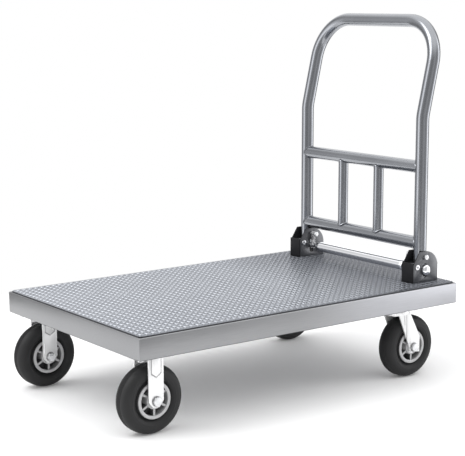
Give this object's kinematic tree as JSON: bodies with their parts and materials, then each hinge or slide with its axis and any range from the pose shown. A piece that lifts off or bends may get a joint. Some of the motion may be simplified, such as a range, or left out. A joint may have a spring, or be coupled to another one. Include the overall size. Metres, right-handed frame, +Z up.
{
  "type": "platform truck",
  "caption": "Flatbed platform truck with a tread-plate steel deck, fold-down tube handle with foot release, rigid front castors and swivel rear castors.",
  "frame": {"origin": "centre of the truck's footprint on the floor", "axes": "+Z up, +X along the deck towards the handle, -Y the truck's left side"},
  "size_m": [0.9968, 0.6, 0.9188],
  "materials": {
    "pan_steel": "satin",
    "tread_steel": "bright rolled sheet",
    "frame_steel": "satin",
    "bracket_paint": "satin",
    "handle_paint": "gloss metallic",
    "rubber": "matt",
    "zinc": "zinc plated",
    "bolt_zinc": "zinc plated",
    "fork_zinc": "bright zinc plated",
    "spring_steel": "drawn wire",
    "bearing_steel": "polished",
    "chrome": "polished",
    "rim_aluminium": "as cast",
    "tyre": "matt"
  },
  "bodies": {
    "deck": {"deck_pan": "pan_steel", "tread_plate": "tread_steel", "crossmember_1": "frame_steel", "crossmember_2": "frame_steel", "crossmember_3": "frame_steel", "crossmember_4": "frame_steel", "stiffener_left": "frame_steel", "stiffener_right": "frame_steel", "bracket_left": "bracket_paint", "bracket_right": "bracket_paint", "leg_buffers": "rubber", "bracket_bolts": "zinc", "pivot_rivets": "chrome", "spring_studs": "zinc", "castor_bolts": "zinc", "castor_nuts": "zinc", "rigid_fork_left": "fork_zinc", "rigid_fork_right": "fork_zinc", "swivel_plate_left": "fork_zinc", "swivel_plate_right": "fork_zinc", "swivel_balls_left": "bearing_steel", "swivel_balls_right": "bearing_steel", "kingpin_left": "zinc", "kingpin_right": "zinc", "axle_front_left": "bolt_zinc", "axle_front_right": "bolt_zinc", "sleeve_front_left": "bearing_steel", "sleeve_front_right": "bearing_steel"},
    "handle_frame": {"handle_leg_left": "handle_paint", "handle_leg_right": "handle_paint", "handle_bow": "handle_paint", "rail_upper": "handle_paint", "rail_lower": "handle_paint", "upright_left": "handle_paint", "upright_right": "handle_paint", "lug_left": "handle_paint", "lug_right": "handle_paint"},
    "release": {"release_bar": "chrome", "release_rod": "chrome", "release_bar_ends": "chrome", "return_springs": "spring_steel"},
    "swivel_left": {"swivel_fork_left": "fork_zinc", "axle_rear_left": "bolt_zinc", "sleeve_rear_left": "bearing_steel"},
    "swivel_right": {"swivel_fork_right": "fork_zinc", "axle_rear_right": "bolt_zinc", "sleeve_rear_right": "bearing_steel"},
    "wheel_front_left": {"rim_front_left": "rim_aluminium", "bearings_front_left": "bearing_steel", "tyre_front_left": "tyre"},
    "wheel_front_right": {"rim_front_right": "rim_aluminium", "bearings_front_right": "bearing_steel", "tyre_front_right": "tyre"},
    "wheel_rear_left": {"rim_rear_left": "rim_aluminium", "bearings_rear_left": "bearing_steel", "tyre_rear_left": "tyre"},
    "wheel_rear_right": {"rim_rear_right": "rim_aluminium", "bearings_rear_right": "bearing_steel", "tyre_rear_right": "tyre"}
  },
  "joints": [
    {"name": "handle_fold", "type": "hinge", "parent": "deck", "child": "handle_frame", "pos_m": [0.394, 0, 0.28], "axis": [0, -1, 0], "range_deg": [0, 90]},
    {"name": "release_press", "type": "slide", "parent": "deck", "child": "release", "axis": [0, 0, 1], "range_m": [-0.014, 0], "stiffness_N_per_m": 2500, "springref_m": 0.012, "deforming": ["return_springs"]},
    {"name": "swivel_turn_left", "type": "hinge", "parent": "deck", "child": "swivel_left", "pos_m": [0.328, -0.238, 0.17], "axis": [0, 0, 1], "continuous": true},
    {"name": "swivel_turn_right", "type": "hinge", "parent": "deck", "child": "swivel_right", "pos_m": [0.328, 0.238, 0.17], "axis": [0, 0, 1], "continuous": true},
    {"name": "wheel_spin_front_left", "type": "hinge", "parent": "deck", "child": "wheel_front_left", "pos_m": [-0.422, -0.238, 0.08], "axis": [0, 1, 0], "continuous": true},
    {"name": "wheel_spin_front_right", "type": "hinge", "parent": "deck", "child": "wheel_front_right", "pos_m": [-0.422, 0.238, 0.08], "axis": [0, 1, 0], "continuous": true},
    {"name": "wheel_spin_rear_left", "type": "hinge", "parent": "swivel_left", "child": "wheel_rear_left", "pos_m": [0.366, -0.238, 0.08], "axis": [0, 1, 0], "continuous": true},
    {"name": "wheel_spin_rear_right", "type": "hinge", "parent": "swivel_right", "child": "wheel_rear_right", "pos_m": [0.366, 0.238, 0.08], "axis": [0, 1, 0], "continuous": true}
  ]
}
